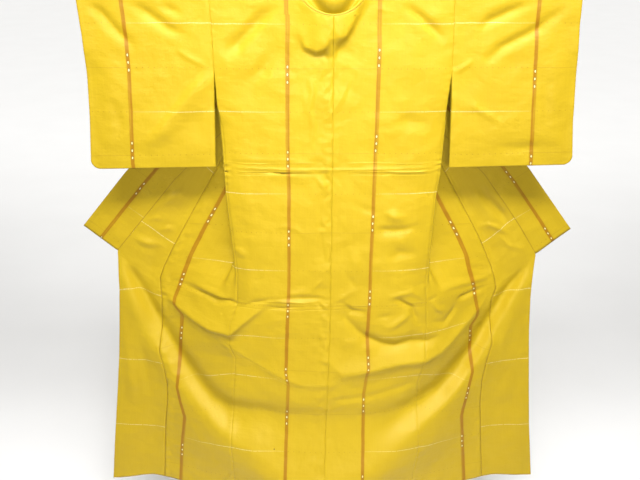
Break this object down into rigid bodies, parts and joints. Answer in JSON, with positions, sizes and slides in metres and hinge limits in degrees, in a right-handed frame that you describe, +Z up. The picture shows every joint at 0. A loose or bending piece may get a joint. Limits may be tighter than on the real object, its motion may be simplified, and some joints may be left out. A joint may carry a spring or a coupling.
{
  "type": "kimono on a hanging rod",
  "caption": "Golden-yellow striped kimono hung on a straight rod, seen from the back, fronts swung out behind the back panels.",
  "frame": {"origin": "middle of the rod's axis, where the rod is held", "axes": "+X along the rod to the right as seen from the back of the kimono, +Y away from that viewer, +Z up"},
  "size_m": [1.66, 0.2223, 1.6802],
  "materials": {
    "silk": "satin",
    "rod": "satin"
  },
  "bodies": {
    "root": {"body_left": "silk", "body_right": "silk", "okumi_left": "silk", "okumi_right": "silk", "collar": "silk", "sleeve_left": "silk", "sleeve_right": "silk", "hanging_rod": "rod"}
  },
  "joints": []
}
